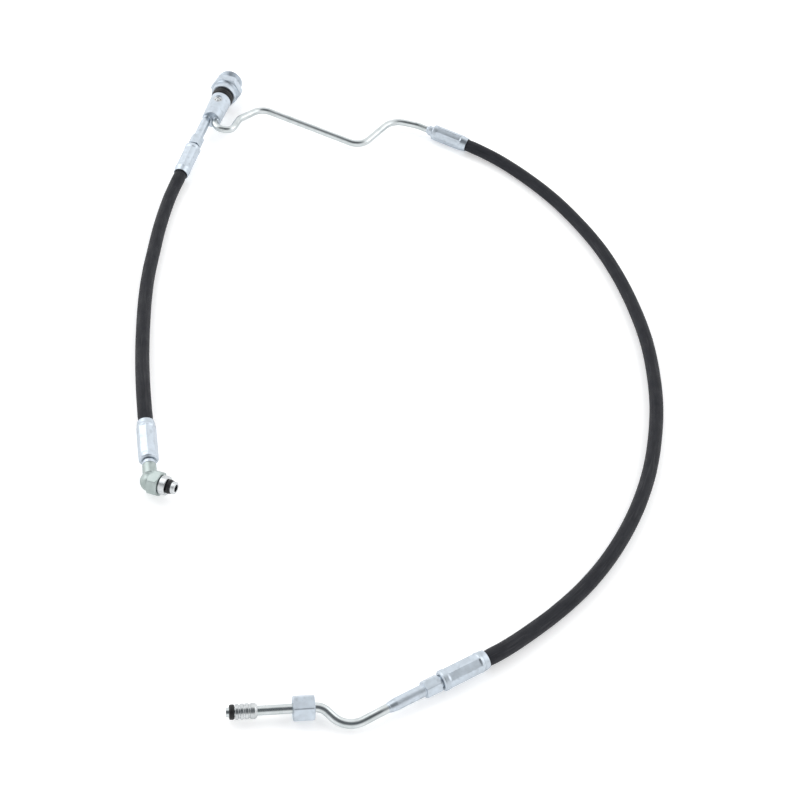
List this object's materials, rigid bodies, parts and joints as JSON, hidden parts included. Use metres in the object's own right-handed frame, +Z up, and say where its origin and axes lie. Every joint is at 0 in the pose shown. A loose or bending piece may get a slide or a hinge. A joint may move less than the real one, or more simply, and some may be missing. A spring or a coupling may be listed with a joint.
{
  "type": "hydraulic hose assembly",
  "caption": "Hydraulic line set of bent plated tubes and crimped rubber hoses, with a swivel-nut manifold, a swivelling elbow stud and a loose tube nut.",
  "frame": {"origin": "centre of the fittings' and tubes' outline, on the surface that the assembly lies on", "axes": "+Z up from that surface, +Y towards the swivel-nut manifold, +X towards the long hose"},
  "size_m": [0.6985, 1.0019, 0.041],
  "materials": {
    "hose_cover": "matte synthetic rubber with a faint wrapped-cloth texture",
    "tube_plating": "bright zinc plating on drawn tube",
    "fitting_plating": "satin blue-grey zinc plating",
    "bright_steel": "turned and polished",
    "seal_rubber": "smooth nitrile",
    "backup_ring": "matte"
  },
  "bodies": {
    "hose_assembly": {"manifold_body": "fitting_plating", "nut_rear_seal": "seal_rubber", "swivel_thrust_washer": "fitting_plating", "manifold_nose": "bright_steel", "nose_o_ring": "seal_rubber", "plug_sleeve": "bright_steel", "plug_ball": "bright_steel", "left_upper_ferrule": "fitting_plating", "left_upper_nipple": "fitting_plating", "left_lower_ferrule": "fitting_plating", "left_lower_nipple": "fitting_plating", "right_upper_ferrule": "fitting_plating", "right_upper_nipple": "fitting_plating", "right_lower_ferrule": "fitting_plating", "right_lower_nipple": "fitting_plating", "elbow_body": "fitting_plating", "tube_end_sleeve": "bright_steel", "tube_end_o_ring": "seal_rubber", "left_stem_tube": "tube_plating", "crossover_tube": "tube_plating", "lower_tube": "tube_plating", "left_hose": "hose_cover", "right_hose": "hose_cover"},
    "swivel_nut": {"swivel_nut": "fitting_plating"},
    "port_stud": {"port_stud": "bright_steel", "port_o_ring": "seal_rubber", "port_backup_ring": "backup_ring", "stud_inner_o_ring": "seal_rubber", "stud_snap_ring": "bright_steel"},
    "tube_nut_washer": {"tube_nut_washer": "fitting_plating"},
    "tube_nut": {"tube_nut": "fitting_plating"}
  },
  "joints": [
    {"name": "swivel_nut_spin", "type": "hinge", "parent": "hose_assembly", "child": "swivel_nut", "pos_m": [-0.232, 0.396, 0.0206], "axis": [0.06, 0.9982, 0], "continuous": true},
    {"name": "port_stud_spin", "type": "hinge", "parent": "hose_assembly", "child": "port_stud", "pos_m": [-0.14717, -0.24369, 0.0166], "axis": [0.9718, -0.1932, 0.1355], "continuous": true},
    {"name": "tube_nut_slide", "type": "slide", "parent": "hose_assembly", "child": "tube_nut_washer", "axis": [-0.9681, -0.2506, 0], "range_m": [0, 0.049]},
    {"name": "tube_nut_spin", "type": "hinge", "parent": "tube_nut_washer", "child": "tube_nut", "pos_m": [-0.0026, -0.4951, 0.0126], "axis": [0.9681, 0.2506, 0], "continuous": true}
  ]
}
